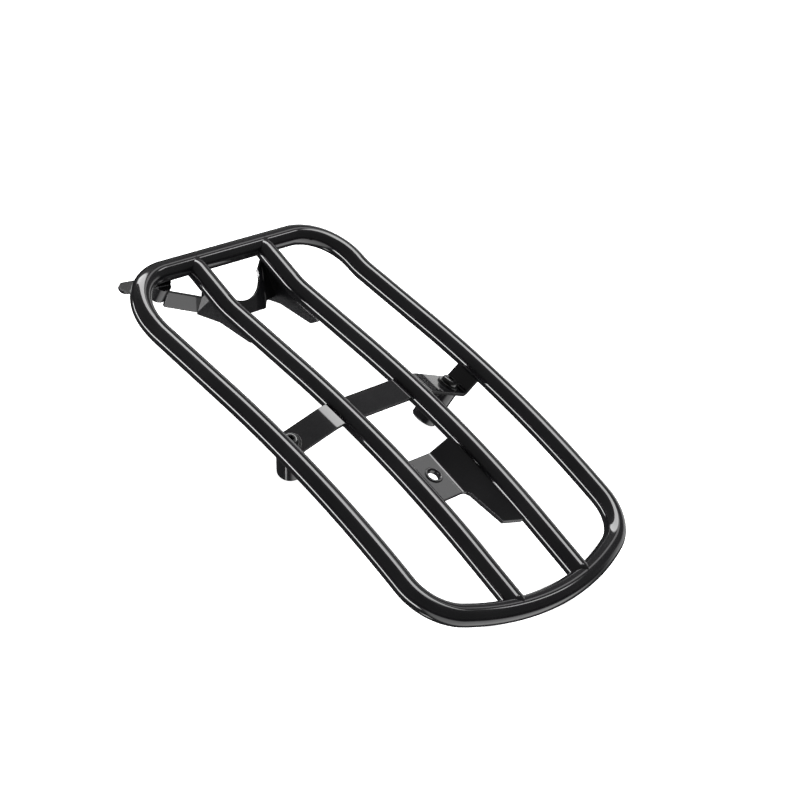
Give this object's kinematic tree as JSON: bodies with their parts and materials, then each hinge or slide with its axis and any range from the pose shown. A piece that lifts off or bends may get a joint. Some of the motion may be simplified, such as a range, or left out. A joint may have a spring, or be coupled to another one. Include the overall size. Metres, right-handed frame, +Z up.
{
  "type": "bicycle cargo rack",
  "caption": "Bent round-bar rack deck with centre rails, a cross strap on bolted stand-offs and folded mounting brackets.",
  "frame": {"origin": "middle of the length and width, at the height of the lowest edge of the stand-offs", "axes": "+X to the rear along the rack, +Y to the right, +Z up off the load deck"},
  "size_m": [0.3044, 0.1778, 0.0525],
  "materials": {
    "paint": "gloss",
    "fastener": "satin"
  },
  "bodies": {
    "rack": {"hoop": "paint", "rail_left": "paint", "rail_right": "paint", "strap_plate": "paint", "wing_left": "paint", "wing_right": "paint", "standoff_left": "paint", "standoff_right": "paint", "front_bracket": "paint", "front_brace": "paint", "brace_foot": "paint", "brace_boss": "paint", "rear_bracket": "paint", "rear_bushing": "paint"},
    "screw_left": {"bolt_left": "fastener", "washer_left": "fastener"},
    "screw_right": {"bolt_right": "fastener", "washer_right": "fastener"}
  },
  "joints": [
    {"name": "screw_left_turn", "type": "hinge", "parent": "rack", "child": "screw_left", "pos_m": [-0.00832, -0.0646, 0.0261], "axis": [0.0486, -0.3778, 0.9246], "continuous": true},
    {"name": "screw_right_turn", "type": "hinge", "parent": "rack", "child": "screw_right", "pos_m": [-0.00832, 0.0646, 0.0261], "axis": [0.0486, 0.3778, 0.9246], "continuous": true}
  ]
}
